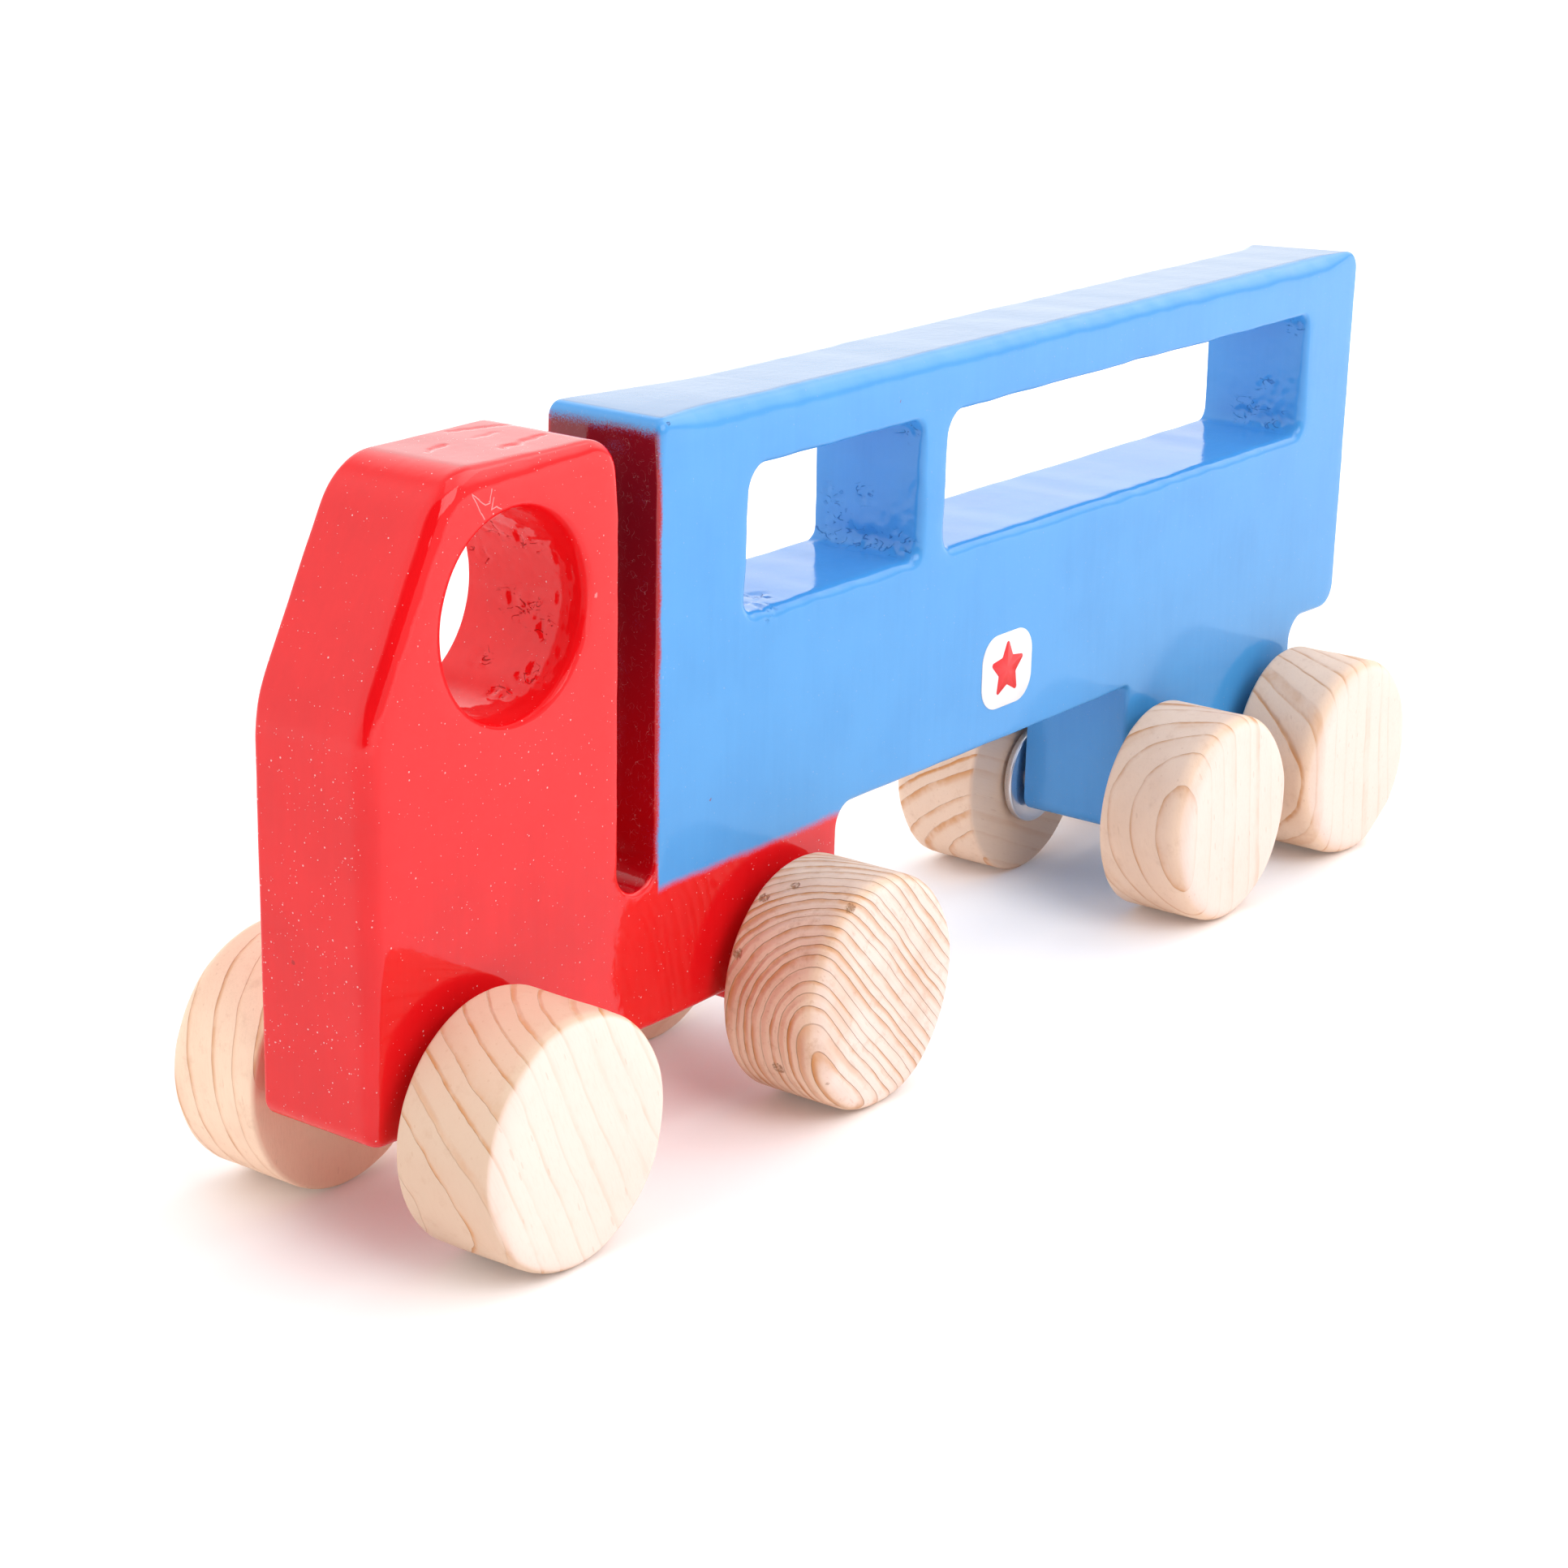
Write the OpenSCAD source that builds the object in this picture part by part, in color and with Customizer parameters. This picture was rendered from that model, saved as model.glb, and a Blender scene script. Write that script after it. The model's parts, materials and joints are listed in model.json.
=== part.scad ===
// Push along truck: one solid pine block, sawn to a cab and trailer outline,
// rolling on four axles. +X is forward, +Y is the truck's left, +Z is up.
// The origin is on the floor, under the middle of the block.

/* [Block] */
// Length of the block, cab front to trailer rear
truck_len = 360; // [352:1:380]
// Thickness of the block
block_t = 28; // [24:1:34]
// Height of the trailer roof above the floor
trailer_roof_z = 146.5; // [142:0.5:156]
// Height of the cab roof above the floor
cab_roof_z = 145; // [144:0.5:155]
// Rounding of the long edges
edge_r = 4; // [2:0.5:6]

/* [Cab] */
// Length of the cab at its sides
cab_len = 69; // [66:1:72]
// Height where the windscreen starts to lean back
screen_foot_z = 104; // [98:1:110]
// How far the windscreen leans back at the roof
screen_lean = 22; // [16:1:28]
// Diameter of the hand hole
hand_hole_d = 40; // [34:1:42]
// Distance of the hand hole behind the cab front
hand_hole_back = 38; // [36:1:39]
// Height of the middle of the hand hole
hand_hole_z = 117; // [112:1:118]
// Rounding of the hand hole's rims
hand_rim_r = 3; // [1:0.5:4]

/* [Slot] */
// Width of the saw slot between cab and trailer
slot_w = 11.5; // [8:0.5:13]
// Height of the slot's round floor
slot_floor_z = 54; // [53.5:0.5:60]

/* [Trailer] */
// Height of the trailer's underside
trailer_under_z = 54.5; // [50:0.5:60]
// Distance of the bogie's front face behind the cab front
bogie_front = 258.5; // [254:0.5:262]
// Distance of the bogie's rear face behind the cab front
bogie_back = 338.5; // [334:0.5:342]

/* [Windows] */
// Height of the window sills
sill_z = 103; // [98:1:110]
// Height of the top of the windows
head_z = 133; // [126:1:136]
// Front edge of the short window behind the cab front
short_window_front = 109; // [104:1:112]
// Length of the short window
short_window_len = 60; // [50:1:64]
// Width of the post between the windows
window_post = 9.5; // [8:0.5:14]
// Length of the long window
long_window_len = 158; // [140:1:160]
// Radius of the window corners
window_corner_r = 5; // [3:1:8]

/* [Chassis] */
// Height of the tractor's underside
under_z = 24; // [22:0.5:28]
// Rear end of the tractor chassis behind the cab front
chassis_back = 141.5; // [138:0.5:146]
// Height of the underside of the axle blocks and the bogie
axle_block_z = 17.5; // [15:0.5:19]
// Length of each tractor axle block
axle_block_len = 20; // [16:1:26]

/* [Wheels] */
// Wheel diameter
wheel_d = 50; // [48:1:52]
// Wheel width
wheel_w = 23; // [16:1:28]
// Gap between the block's side and a wheel
wheel_gap = 4; // [3:0.5:6]
// Rounding of the wheel edges
wheel_edge_r = 3; // [1:0.5:4]

/* [Paint] */
// Height of the line where the red tractor meets the blue trailer
paint_line_z = 53; // [48:0.5:53]

/* [Axles] */
// Axle rod diameter
axle_d = 8; // [6:0.5:10]
// Play of the axles in their bores, on the radius
axle_play = 0.08; // [0.02:0.01:0.1]
// Distance of the front axle behind the cab front
front_axle_back = 26; // [24:1:30]
// Distance of the chassis axle behind the cab front
chassis_axle_back = 122; // [110:1:124]
// Distance of the bogie's front axle behind the cab front
bogie_front_axle_back = 266; // [265:1:270]
// Distance of the bogie's rear axle behind the cab front
bogie_rear_axle_back = 329; // [322:1:332]
// Depth of the blind hole in each wheel
wheel_hole_depth = 14; // [10:1:15]
// Washer outside diameter
washer_d = 24; // [18:1:26]
// Washer thickness
washer_t = 2; // [1:0.1:2.5]

/* [Sticker] */
// Sticker width
sticker_w = 20; // [14:1:24]
// Sticker height
sticker_h = 17; // [14:1:24]
// Distance of the sticker's middle behind the cab front
sticker_back = 204.5; // [160:1:240]
// Height of the sticker's middle
sticker_z = 71; // [66:1:90]

/* [Hidden] */
$fn = 96;
front_x = truck_len / 2;
rear_x = -truck_len / 2;
cab_back_x = front_x - cab_len;
slot_mid_x = cab_back_x - slot_w / 2;
trailer_front_x = cab_back_x - slot_w;
chassis_x = front_x - chassis_back;
bogie_front_x = front_x - bogie_front;
bogie_back_x = front_x - bogie_back;
axle_x = [
    front_x - front_axle_back,
    front_x - chassis_axle_back,
    front_x - bogie_front_axle_back,
    front_x - bogie_rear_axle_back
];
axle_z = wheel_d / 2;
wheel_y = block_t / 2 + wheel_gap;
through = block_t + 10;

// Corner radii of the block's side outline
screen_foot_r = 28;
screen_top_r = 15;
roof_end_r = 5;
trailer_nose_r = 2.5;
rear_drop_r = 6;
soft_r = 4;
axle_block_r = 3;
inner_r = 1;
sticker_r = 6;

// Small fits: play of a washer on its rod, bite of a wheel on its rod, air behind a rod's end
washer_play = 0.2;
grip = 0.05;
rod_end_air = 0.5;
sticker_t = 0.2;

// Straight pieces in a rounded corner
steps = 8;
left = 1;
right = -1;

PINE = [0.95, 0.84, 0.68];
RED = [0.86, 0.12, 0.13];
BLUE = [0.29, 0.58, 0.92];
STEEL = [0.72, 0.73, 0.75];
WHITE = [0.97, 0.97, 0.97];

// ---- outlines with rounded corners ----

function unit(v) = v / norm(v);

// Points of the arc that rounds the corner between before, at and after
function corner_arc(before, at, after, r) =
    let (
        a = unit(before - at),
        b = unit(after - at),
        half = acos(a * b) / 2,
        centre = at + unit(a + b) * r / sin(half),
        start = at + a * r / tan(half) - centre,
        turn = (a[0] * b[1] - a[1] * b[0] > 0 ? -1 : 1) * (180 - 2 * half)
    )
    [for (i = [0 : steps])
        let (t = turn * i / steps)
        centre + [start[0] * cos(t) - start[1] * sin(t), start[0] * sin(t) + start[1] * cos(t)]];

// An outline given as [x, y, corner radius]; a radius of 0 keeps the corner sharp
function rounded(outline) =
    let (n = len(outline))
    [for (i = [0 : n - 1])
        let (
            before = outline[(i + n - 1) % n],
            at = outline[i],
            after = outline[(i + 1) % n]
        )
        each at[2] > 0
            ? corner_arc([before[0], before[1]], [at[0], at[1]], [after[0], after[1]], at[2])
            : [[at[0], at[1]]]];

module rounded_rect(x0, y0, x1, y1, r) {
    polygon(rounded([[x0, y0, r], [x1, y0, r], [x1, y1, r], [x0, y1, r]]));
}

// Raises a side-view outline (X, Z) to a plate of thickness t, centred on Y = 0
module side_plate(t) {
    rotate([90, 0, 0]) linear_extrude(t, center = true) children();
}

// ---- the block ----

// Side outline, from the cab's bottom front corner over the roofs to the rear and back underneath
module block_outline() {
    half_len = axle_block_len / 2;
    slot_top_z = trailer_under_z + slot_w;
    polygon(rounded([
        [front_x, under_z, soft_r],
        [front_x, screen_foot_z, screen_foot_r],
        [front_x - screen_lean, cab_roof_z, screen_top_r],
        [cab_back_x, cab_roof_z, roof_end_r],
        [cab_back_x, slot_top_z, 0],
        [trailer_front_x, slot_top_z, 0],
        [trailer_front_x, trailer_roof_z, trailer_nose_r],
        [rear_x, trailer_roof_z, roof_end_r],
        [rear_x, trailer_under_z, rear_drop_r],
        [bogie_back_x, trailer_under_z, rear_drop_r],
        [bogie_back_x, axle_block_z, soft_r],
        [bogie_front_x, axle_block_z, soft_r],
        [bogie_front_x, trailer_under_z, inner_r],
        [chassis_x, trailer_under_z, roof_end_r],
        [chassis_x, under_z, soft_r],
        for (x = [axle_x[1], axle_x[0]]) each [
            [x - half_len, under_z, inner_r],
            [x - half_len, axle_block_z, axle_block_r],
            [x + half_len, axle_block_z, axle_block_r],
            [x + half_len, under_z, inner_r]
        ]
    ]));
}

// Bar along X that rounds the long top and bottom edges of what it is cut with
module edge_bar(x0, x1, top_z) {
    translate([x0, 0, 0]) rotate([90, 0, 90]) linear_extrude(x1 - x0)
        rounded_rect(-block_t / 2, axle_block_z, block_t / 2, top_z, edge_r);
}

// Upright bar that rounds the four vertical corners
module corner_bar() {
    linear_extrude(max(cab_roof_z, trailer_roof_z) + 1)
        rounded_rect(rear_x, -block_t / 2, front_x, block_t / 2, edge_r);
}

// A window, from its front edge backwards
module window(x_front, window_len) {
    side_plate(through)
        rounded_rect(x_front - window_len, sill_z, x_front, head_z, window_corner_r);
}

// The slot runs down from the roof to a round floor
module slot() {
    centre_z = slot_floor_z + slot_w / 2;
    translate([slot_mid_x, 0, centre_z]) {
        rotate([90, 0, 0]) cylinder(d = slot_w, h = through, center = true);
        translate([-slot_w / 2, -through / 2, 0]) cube([slot_w, through, trailer_roof_z]);
    }
}

// The hole a hand goes through, with both rims rounded
module hand_hole() {
    r = hand_hole_d / 2;
    flare = [for (i = [0 : steps])
        let (t = 90 * i / steps)
        [r + hand_rim_r * (1 - cos(t)), block_t / 2 - hand_rim_r * (1 - sin(t))]];
    translate([front_x - hand_hole_back, 0, hand_hole_z]) rotate([90, 0, 0]) {
        cylinder(r = r, h = through, center = true);
        for (side = [0, 1]) mirror([0, 0, side]) rotate_extrude()
            polygon(concat([[0, block_t / 2 - hand_rim_r]], flare, [[0, block_t / 2]]));
    }
}

// Where the block is painted red: the cab, and the chassis up to the paint line
module tractor_zone() {
    reach = 2 * truck_len;
    translate([slot_mid_x, -through / 2, 0]) cube([reach, through, reach]);
    translate([chassis_x, -through / 2, 0]) cube([reach, through, paint_line_z]);
}

module bare_block() {
    long_window_front = short_window_front + short_window_len + window_post;
    difference() {
        intersection() {
            side_plate(block_t) block_outline();
            union() {
                edge_bar(slot_mid_x, front_x, cab_roof_z);
                edge_bar(rear_x, slot_mid_x, trailer_roof_z);
            }
            corner_bar();
        }
        slot();
        hand_hole();
        window(front_x - short_window_front, short_window_len);
        window(front_x - long_window_front, long_window_len);
        for (x = axle_x) translate([x, 0, axle_z]) rotate([90, 0, 0])
            cylinder(r = axle_d / 2 + axle_play, h = through, center = true);
    }
}

// One piece of wood in two paints
module body_block() {
    color(RED) intersection() {
        bare_block();
        tractor_zone();
    }
    color(BLUE) difference() {
        bare_block();
        tractor_zone();
    }
}

// ---- running gear ----

// A plain rod that ends inside both wheels
module axle(x) {
    half_len = wheel_y + wheel_hole_depth - rod_end_air;
    color(STEEL) translate([x, 0, axle_z]) rotate([90, 0, 0])
        cylinder(d = axle_d, h = 2 * half_len, center = true);
}

// A plain pine disc with rounded edges; its axle hole is blind, so the outer face is bare
module wheel(x, side) {
    r = wheel_d / 2;
    color(PINE) translate([x, side * wheel_y, axle_z]) rotate([-90 * side, 0, 0])
        difference() {
            rotate_extrude() polygon(rounded([
                [0, 0, 0], [r, 0, wheel_edge_r], [r, wheel_w, wheel_edge_r], [0, wheel_w, 0]
            ]));
            translate([0, 0, -1]) cylinder(r = axle_d / 2 - grip, h = wheel_hole_depth + 1);
        }
}

// A flat steel washer, loose on the axle in the middle of the gap
module washer(x, side) {
    inner_y = block_t / 2 + (wheel_gap - washer_t) / 2;
    color(STEEL) translate([x, side * inner_y, axle_z]) rotate([-90 * side, 0, 0])
        difference() {
            cylinder(d = washer_d, h = washer_t);
            translate([0, 0, -1]) cylinder(r = axle_d / 2 + washer_play, h = washer_t + 2);
        }
}

// A thin rounded label on the trailer's left side
module side_sticker() {
    color(WHITE) translate([front_x - sticker_back, block_t / 2 + sticker_t / 2, sticker_z])
        side_plate(sticker_t)
            rounded_rect(-sticker_w / 2, -sticker_h / 2, sticker_w / 2, sticker_h / 2, sticker_r);
}

body_block();
side_sticker();

axle(axle_x[0]);  // front_axle
wheel(axle_x[0], left);  // front_wheel_left
wheel(axle_x[0], right);  // front_wheel_right
washer(axle_x[0], left);  // front_washer_left
washer(axle_x[0], right);  // front_washer_right

axle(axle_x[1]);  // chassis_axle
wheel(axle_x[1], left);  // chassis_wheel_left
wheel(axle_x[1], right);  // chassis_wheel_right
washer(axle_x[1], left);  // chassis_washer_left
washer(axle_x[1], right);  // chassis_washer_right

axle(axle_x[2]);  // bogie_front_axle
wheel(axle_x[2], left);  // bogie_front_wheel_left
wheel(axle_x[2], right);  // bogie_front_wheel_right
washer(axle_x[2], left);  // bogie_front_washer_left
washer(axle_x[2], right);  // bogie_front_washer_right

axle(axle_x[3]);  // bogie_rear_axle
wheel(axle_x[3], left);  // bogie_rear_wheel_left
wheel(axle_x[3], right);  // bogie_rear_wheel_right
washer(axle_x[3], left);  // bogie_rear_washer_left
washer(axle_x[3], right);  // bogie_rear_washer_right
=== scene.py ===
import json
import math
from collections import namedtuple

import bmesh
import bpy
import numpy as np
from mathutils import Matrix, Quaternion, Vector, geometry, kdtree, noise


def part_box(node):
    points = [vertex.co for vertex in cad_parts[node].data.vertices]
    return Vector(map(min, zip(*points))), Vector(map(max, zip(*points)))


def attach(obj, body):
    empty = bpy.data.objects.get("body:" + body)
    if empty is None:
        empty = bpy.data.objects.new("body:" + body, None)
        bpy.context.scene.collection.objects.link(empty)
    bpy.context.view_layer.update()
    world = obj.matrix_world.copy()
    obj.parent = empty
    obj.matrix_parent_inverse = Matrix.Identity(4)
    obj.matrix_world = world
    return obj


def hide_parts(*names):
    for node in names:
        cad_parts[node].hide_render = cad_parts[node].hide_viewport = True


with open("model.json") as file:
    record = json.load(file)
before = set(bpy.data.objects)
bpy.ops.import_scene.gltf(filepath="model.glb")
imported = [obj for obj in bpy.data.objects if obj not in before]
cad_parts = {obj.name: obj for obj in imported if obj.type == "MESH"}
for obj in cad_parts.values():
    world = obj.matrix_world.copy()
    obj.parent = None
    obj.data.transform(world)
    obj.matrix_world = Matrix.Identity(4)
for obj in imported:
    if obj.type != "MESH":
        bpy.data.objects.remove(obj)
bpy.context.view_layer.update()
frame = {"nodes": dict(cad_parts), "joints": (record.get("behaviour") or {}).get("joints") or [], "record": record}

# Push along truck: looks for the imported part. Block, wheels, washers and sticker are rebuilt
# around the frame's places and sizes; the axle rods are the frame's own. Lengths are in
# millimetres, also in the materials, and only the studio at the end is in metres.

MM = 0.001


# ---- driving dimensions, from the frame ----

def box_mm(node):
    """Lowest and highest corner of a frame node, in millimetres."""
    low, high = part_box(node)
    return low / MM, high / MM


BLOCK_LOW, BLOCK_HIGH = box_mm("body_block")
FRONT_X = BLOCK_HIGH.x
REAR_X = BLOCK_LOW.x
HALF_T = BLOCK_HIGH.y
ROOF_Z = BLOCK_HIGH.z
BASE_Z = BLOCK_LOW.z

AXLES = {joint["child"]: Vector(joint["pos_m"]) / MM for joint in frame["joints"]}
MOUNTS = {mount["name"]: mount for mount in frame["record"]["mounts"]}
HOLE_CENTRE = Vector(MOUNTS["hand_hole"]["pos_m"]) / MM
HOLE_R = MOUNTS["hand_hole"]["dims"]["r_mm"]
ROD_R = (box_mm("front_axle")[1].x - box_mm("front_axle")[0].x) / 2

# Cab and slot
CAB_ROOF_Z = ROOF_Z - 0.6
SCREEN_FOOT_Z = 104
SCREEN_LEAN = 22
CAB_BACK_X = FRONT_X - 69
NOSE_X = CAB_BACK_X - 11.5
SLOT_R = (CAB_BACK_X - NOSE_X) / 2
SLOT_FLOOR_Z = 54

# How far the rear edge leans back at the top, and the trailer's roof falls to the right
REAR_LEAN = 0.8
ROOF_FALL = 1.3

# Underside
TRAILER_UNDER_Z = 54.5
UNDER_Z = 24
CHASSIS_X = FRONT_X - 141.5
BOGIE_FRONT_X = FRONT_X - 258.5
BOGIE_BACK_X = FRONT_X - 338.5
AXLE_BLOCK_HALF = 10

# Windows
SILL_Z = 103
HEAD_Z = 133
SHORT_WINDOW = (FRONT_X - 169, FRONT_X - 109)
LONG_WINDOW = (FRONT_X - 336.5, FRONT_X - 178.5)
WINDOW_SAW_R = 5.5
WINDOW_CORNER_R = 3.2

# Softness of the arrises, from the side face into the wall
EDGE = 4.0
REAR_EDGE = 1.2
UNDER_EDGE = 1.6
BOGIE_EDGE = 1.1
SLOT_EDGE = 1.1
WINDOW_EDGE = 1.3
SILL_EDGE = 2.3
HOLE_EDGE = 1.2
BORE_EDGE = 0.3

# The hand hole's arris grows rearwards, and the hole sits back and leans; a bore's play
HOLE_EDGE_UNEVEN = 0.75
HOLE_SHIFT = 0.4
HOLE_LEAN = 0.8
BORE_PLAY = 0.08

# Paint
PAINT_LINE_Z = 53

# Mesh fineness
STEP = 0.6
ARRIS_ROWS = 6
WALL_ROWS = 40
FACE_STEP = 2.4
WHEEL_SEGMENTS = 180


# ---- outlines ----

def corner_arc(before, here, after):
    """Points of the arc that rounds a corner (x, z, radius, arris); radius 0 keeps one point."""
    if here[2] == 0:
        yield here[:2]
        return
    at = np.array(here[:2], float)
    a = np.array(before[:2], float) - at
    b = np.array(after[:2], float) - at
    a /= np.linalg.norm(a)
    b /= np.linalg.norm(b)
    half = math.acos(float(a @ b)) / 2
    middle = (a + b) / np.linalg.norm(a + b)
    centre = at + middle * here[2] / math.sin(half)
    start = at + a * here[2] / math.tan(half) - centre
    turn = math.pi - 2 * half
    if a[0] * b[1] - a[1] * b[0] > 0:
        turn = -turn
    count = max(4, round(abs(turn) * here[2] / STEP))
    for i in range(count + 1):
        t = turn * i / count
        c, s = math.cos(t), math.sin(t)
        yield centre[0] + start[0] * c - start[1] * s, centre[1] + start[0] * s + start[1] * c


def rounded(corners):
    """Closed outline through (x, z, radius, arris) corners: points, and the arris at each."""
    points, arris = [], []
    for before, here, after in zip(corners[-1:] + corners[:-1], corners, corners[1:] + corners[:1]):
        for point in corner_arc(before, here, after):
            points.append(point)
            arris.append(here[3])
    return np.array(points), np.array(arris, float)


def ring(centre_x, centre_z, radius, arris):
    """A full circle as a closed outline."""
    count = max(24, round(2 * math.pi * radius / STEP))
    turn = np.arange(count) * 2 * math.pi / count
    points = np.stack([centre_x + radius * np.cos(turn), centre_z + radius * np.sin(turn)], 1)
    return points, np.full(count, float(arris))


def even_steps(points, arris):
    """The same closed outline with points one STEP apart."""
    closed = np.vstack([points, points[:1]])
    length = np.concatenate([[0], np.cumsum(np.linalg.norm(np.diff(closed, axis=0), axis=1))])
    count = round(length[-1] / STEP)
    at = np.arange(count) * length[-1] / count
    x = np.interp(at, length, closed[:, 0])
    z = np.interp(at, length, closed[:, 1])
    return np.stack([x, z], 1), np.interp(at, length, np.append(arris, arris[0]))


def turned(points, arris, clockwise):
    """The outline in the asked direction, so that its normals point away from the wood."""
    x, z = points[:, 0], points[:, 1]
    area = np.sum(x * np.roll(z, -1) - z * np.roll(x, -1)) / 2
    if (area < 0) != clockwise:
        return points[::-1].copy(), arris[::-1].copy()
    return points, arris


def outward(points):
    """Normals of a closed outline, away from the wood."""
    along = np.roll(points, -1, 0) - np.roll(points, 1, 0)
    along /= np.linalg.norm(along, axis=1)[:, None]
    return np.stack([along[:, 1], -along[:, 0]], 1)


def noise_at(points, wavelength, seed):
    """Smooth noise from -1 to 1 at each of the points."""
    shift = Vector((seed * 17.3, seed * 5.9, seed * 11.1))
    flat = [Vector(p) / wavelength + shift for p in points.tolist()]
    return np.array([noise.noise(p) for p in flat])


def with_y(points, y=0.0):
    """(x, z) points as (x, y, z)."""
    return np.stack([points[:, 0], np.full(len(points), y), points[:, 1]], 1)


def placed(origin, spots):
    """Spots (x, y, z, radius) moved from round the origin to their places."""
    return [(origin[0] + x, origin[1] + y, origin[2] + z, radius) for x, y, z, radius in spots]


# ---- the block ----

def block_corners():
    """Side outline of the block, from the cab's bottom front corner over the roofs and back."""
    corners = [
        (FRONT_X, UNDER_Z, 4, 3),
        (FRONT_X, SCREEN_FOOT_Z, 28, EDGE),
        (FRONT_X - SCREEN_LEAN, CAB_ROOF_Z, 15, EDGE),
        (CAB_BACK_X, CAB_ROOF_Z, 8, 2.2),
        (CAB_BACK_X, CAB_ROOF_Z - 16, 0, SLOT_EDGE),
        (CAB_BACK_X, SLOT_FLOOR_Z, SLOT_R - 0.01, SLOT_EDGE),
        (NOSE_X, SLOT_FLOOR_Z, SLOT_R - 0.01, SLOT_EDGE),
        (NOSE_X, ROOF_Z - 12, 0, SLOT_EDGE),
        (NOSE_X, ROOF_Z, 3.2, 2.2),
        (NOSE_X - 12, ROOF_Z, 0, EDGE),
        (REAR_X + 14, ROOF_Z, 0, EDGE),
        (REAR_X - REAR_LEAN, ROOF_Z, 5, REAR_EDGE),
        (REAR_X, TRAILER_UNDER_Z, 6, REAR_EDGE),
        (BOGIE_BACK_X, TRAILER_UNDER_Z, 6, UNDER_EDGE),
        (BOGIE_BACK_X, BASE_Z, 4, UNDER_EDGE),
        (BOGIE_FRONT_X, BASE_Z, 4, BOGIE_EDGE),
        (BOGIE_FRONT_X, TRAILER_UNDER_Z, 1.5, BOGIE_EDGE),
        (CHASSIS_X, TRAILER_UNDER_Z, 5, UNDER_EDGE),
        (CHASSIS_X, UNDER_Z, 4, UNDER_EDGE),
    ]
    for body in ("chassis_wheelset", "front_wheelset"):
        x = AXLES[body].x
        corners += [
            (x - AXLE_BLOCK_HALF, UNDER_Z, 1, UNDER_EDGE),
            (x - AXLE_BLOCK_HALF, BASE_Z, 3, UNDER_EDGE),
            (x + AXLE_BLOCK_HALF, BASE_Z, 3, UNDER_EDGE),
            (x + AXLE_BLOCK_HALF, UNDER_Z, 1, UNDER_EDGE),
        ]
    return corners


def window_corners(x_low, x_high):
    """Outline corners of one window."""
    return [
        (x_low, SILL_Z, WINDOW_CORNER_R, SILL_EDGE),
        (x_high, SILL_Z, WINDOW_CORNER_R, SILL_EDGE),
        (x_high, HEAD_Z, WINDOW_SAW_R, WINDOW_EDGE),
        (x_low, HEAD_Z, WINDOW_CORNER_R, WINDOW_EDGE),
    ]


def behind_nose(x):
    """0 on the cab and the nose, rising to 1 along the first stretch of the trailer."""
    return np.clip((NOSE_X - 6 - x) / 40, 0, 1)


def trailer_share(x):
    """1 along the middle of the trailer, falling to 0 at the nose and at the rear edge."""
    return behind_nose(x) * np.clip((x - REAR_X - 3) / 8, 0, 1)


# A closed outline: its points, the arris at each, how far the hand-cut edge wobbles, how rough
# its end grain is, the right side's share of the left side's arris, and how far the cut leans
# rearwards on the left and forwards on the right
Outline = namedtuple("Outline", "points arris wobble rough right_share lean", defaults=(0.0,))


def block_outlines():
    """Every closed outline of the block: the outside, both windows, the hand hole, the bores."""
    points, arris = turned(*even_steps(*rounded(block_corners())), False)
    on_roof = trailer_share(points[:, 0]) * (points[:, 1] > ROOF_Z - 2)
    outlines = [Outline(points, arris, wobble=0.10, rough=0.0, right_share=0.3 + 0.6 * on_roof)]
    for window in (SHORT_WINDOW, LONG_WINDOW):
        cut = even_steps(*rounded(window_corners(*window)))
        outlines.append(Outline(*turned(*cut, True), wobble=0.22, rough=0.9, right_share=0.15))
    points, arris = ring(HOLE_CENTRE.x - HOLE_SHIFT, HOLE_CENTRE.z, HOLE_R, HOLE_EDGE)
    forward = (points[:, 0] - HOLE_CENTRE.x) / HOLE_R
    hole = turned(points, arris * (1 - HOLE_EDGE_UNEVEN * forward), True)
    outlines.append(Outline(*hole, wobble=0.12, rough=1.0, right_share=0.15, lean=HOLE_LEAN))
    for centre in AXLES.values():
        bore = ring(centre.x, centre.z, ROD_R + BORE_PLAY, BORE_EDGE)
        outlines.append(Outline(*turned(*bore, True), wobble=0.0, rough=0.0, right_share=1.0))
    return outlines


def arris_row(points, normals, rim, turn, side):
    """One row of an arris: turn runs from 0 on the side face to a quarter turn on the wall."""
    flat = points - normals * (rim * (1 - math.sin(turn)))[:, None]
    return np.stack([flat[:, 0], side * (HALF_T - rim * (1 - math.cos(turn))), flat[:, 1]], 1)


def wall_rows(outline, seed):
    """Rows of the wall from the left face's rim to the right face's rim, (rows, points, 3)."""
    shift = outline.wobble * noise_at(with_y(outline.points), 11, seed)
    points = outline.points + outward(outline.points) * shift[:, None]
    normals = outward(points)
    rims = []
    for side, share in ((1, 1.0), (-1, outline.right_share)):
        uneven = 1 + 1.2 * outline.wobble * noise_at(with_y(points, side * 30), 6, seed + 1)
        rims.append(share * outline.arris * uneven)
    turns = [math.pi / 2 * i / ARRIS_ROWS for i in range(ARRIS_ROWS)]
    rows = [arris_row(points, normals, rims[0], turn, 1) for turn in turns]
    for i in range(WALL_ROWS + 1):
        share = i / WALL_ROWS
        y = (HALF_T - rims[0]) * (1 - share) - (HALF_T - rims[1]) * share
        rows.append(np.stack([points[:, 0], y, points[:, 1]], 1))
    rows += [arris_row(points, normals, rims[1], turn, -1) for turn in reversed(turns)]
    rows = np.array(rows)
    rows[:, :, 0] -= outline.lean * rows[:, :, 1] / HALF_T
    return rows


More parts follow.
